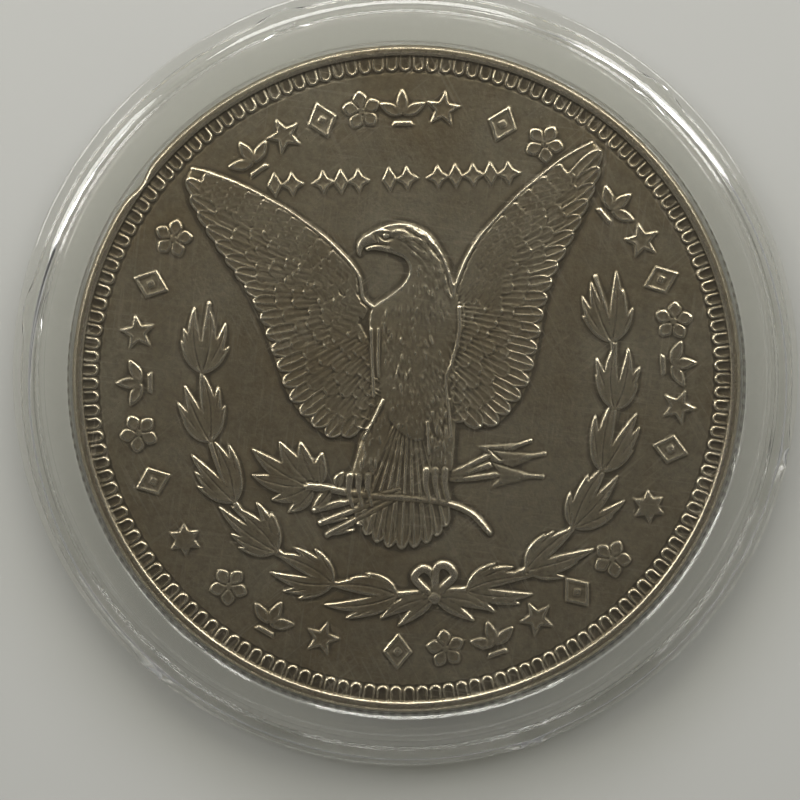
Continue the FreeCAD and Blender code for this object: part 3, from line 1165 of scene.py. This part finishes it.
def make_floor():
    """A table wide enough to fill the picture."""
    corners = [(x * FLOOR_HALF, y * FLOOR_HALF, FLOOR_Z) for x, y in ((-1, -1), (1, -1), (1, 1), (-1, 1))]
    floor = mesh_from("floor", np.array(corners), np.array([[0, 1, 2], [0, 2, 3]]))
    floor.data.materials.append(table_top())
    floor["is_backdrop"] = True


def softbox(name, azimuth, elevation, distance, width, height, radiance):
    """An area light aimed at the coin; azimuth is counted from +X towards +Y."""
    a, e = math.radians(azimuth), math.radians(elevation)
    light = bpy.data.lights.new(name, "AREA")
    light.shape = "RECTANGLE"
    light.size = width
    light.size_y = height
    light.energy = radiance * math.pi * width * height
    light.color = LAMP_COLOUR
    lamp = bpy.data.objects.new(name, light)
    away = Vector((math.cos(a) * math.cos(e), math.sin(a) * math.cos(e), math.sin(e)))
    lamp.location = away * distance
    lamp.rotation_euler = away.to_track_quat("Z", "Y").to_euler()
    lamp.visible_camera = False
    bpy.context.scene.collection.objects.link(lamp)


def make_sky():
    """Plain soft light from all round, dim overhead and brighter towards +Y."""
    world = bpy.data.worlds.new("studio")
    world.use_nodes = True
    tree = world.node_tree
    back = tree.nodes["Background"]
    direction = tree.nodes.new("ShaderNodeTexCoord").outputs["Generated"]
    split = tree.nodes.new("ShaderNodeSeparateXYZ")
    tree.links.new(direction, split.inputs[0])
    ramp = tree.nodes.new("ShaderNodeValToRGB")
    stops = ramp.color_ramp.elements
    for _ in SKY[2:]:
        stops.new(0.5)
    for stop, (position, colour) in zip(stops, SKY):
        stop.position = position
        stop.color = (*colour, 1)
    tree.links.new(split.outputs["Z"], ramp.inputs[0])
    side = tree.nodes.new("ShaderNodeMapRange")
    for key, value in ((1, -1.0), (2, 1.0), (3, SKY_BACK), (4, SKY_FRONT)):
        side.inputs[key].default_value = value
    tree.links.new(split.outputs["Y"], side.inputs[0])
    tree.links.new(ramp.outputs[0], back.inputs["Color"])
    tree.links.new(side.outputs[0], back.inputs["Strength"])
    bpy.context.scene.world = world


def make_camera():
    """Nearly overhead, framing the capsule as its picture does."""
    data = bpy.data.cameras.new("camera")
    data.sensor_width = SENSOR
    eye = Vector(CAMERA_EYE) * MM
    aim = Vector(CAMERA_AIM) * MM
    data.lens = PICTURE_SCALE * (eye - aim).length / MM * SENSOR / PICTURE_WIDTH
    data.clip_start = 0.01
    camera = bpy.data.objects.new("camera", data)
    back = (eye - aim).normalized()
    right = Vector((0, 1, 0)).cross(back).normalized()
    camera.location = eye
    camera.rotation_euler = Matrix((right, back.cross(right), back)).transposed().to_euler()
    bpy.context.scene.collection.objects.link(camera)
    bpy.context.scene.camera = camera


def dress(piece, material, body, node):
    """Gives a piece its material and says what it rides on and what it replaces."""
    piece.data.materials.append(material)
    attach(piece, body)
    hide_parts(node)


make_camera()
make_sky()
for lamp in LAMPS:
    softbox(*lamp)
make_floor()
dress(make_base(), clear("clear_base", BASE_TINT, BASE_HAZE, BASE_SHADOW, BASE_SCRATCHES),
      "base", "base_shell")
dress(make_coin(), silver(), "held_coin", "coin")
dress(make_lid(), clear("clear_lid", LID_TINT, LID_HAZE, LID_SHADOW, LID_SCRATCHES),
      "lid", "lid_shell")
bpy.context.scene.view_settings.view_transform = "Standard"

boxes = {"cad": cad_box, "visual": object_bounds()}
{name: [list(corner) for corner in box] for name, box in boxes.items()}
